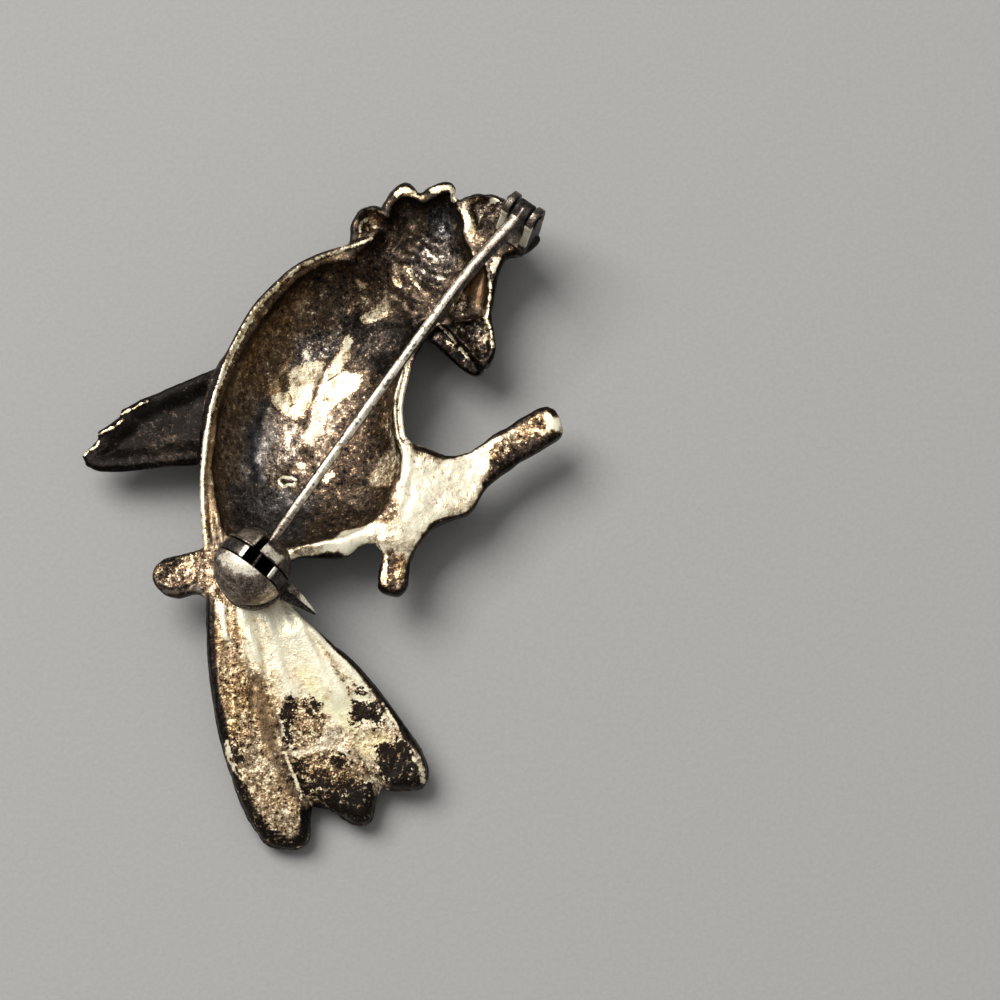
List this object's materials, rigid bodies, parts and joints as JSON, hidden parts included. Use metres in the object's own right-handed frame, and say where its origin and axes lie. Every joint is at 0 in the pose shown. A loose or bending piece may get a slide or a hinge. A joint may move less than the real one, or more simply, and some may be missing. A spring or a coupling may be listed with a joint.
{
  "type": "bird brooch",
  "caption": "Cast silver brooch in the shape of a crested bird on a branch, hollow at the back, with a hinged pin and a ball-shaped safety catch.",
  "frame": {"origin": "centre of the bounding box in X and Y, at the surface that the brooch's front rests on", "axes": "+Z out of the hollow back, away from the surface; +Y from the tail to the head, along the longest side; +X to the side that the beak and the branch point to"},
  "size_m": [0.0367, 0.0514, 0.0112],
  "materials": {
    "tarnished_silver": "cast sterling silver, worn bright on the rim and tarnished brown to black in the hollows",
    "dark_silver": "polished silver with a grey tarnish",
    "pin_wire": "hard nickel silver wire, polished"
  },
  "bodies": {
    "bird": {"bird_casting": "tarnished_silver", "hinge_rivet": "dark_silver"},
    "pin": {"pin_stem": "pin_wire"},
    "rotor": {"catch_rotor": "dark_silver"}
  },
  "joints": [
    {"name": "pin_hinge", "type": "hinge", "parent": "bird", "child": "pin", "pos_m": [0.01536, 0.02215, 0.0083], "axis": [-0.809, 0.5878, 0], "range_deg": [0, 80]},
    {"name": "catch_turn", "type": "hinge", "parent": "bird", "child": "rotor", "pos_m": [-0.00471, -0.00548, 0.0083], "axis": [-0.5878, -0.809, 0], "range_deg": [0, 180]}
  ]
}
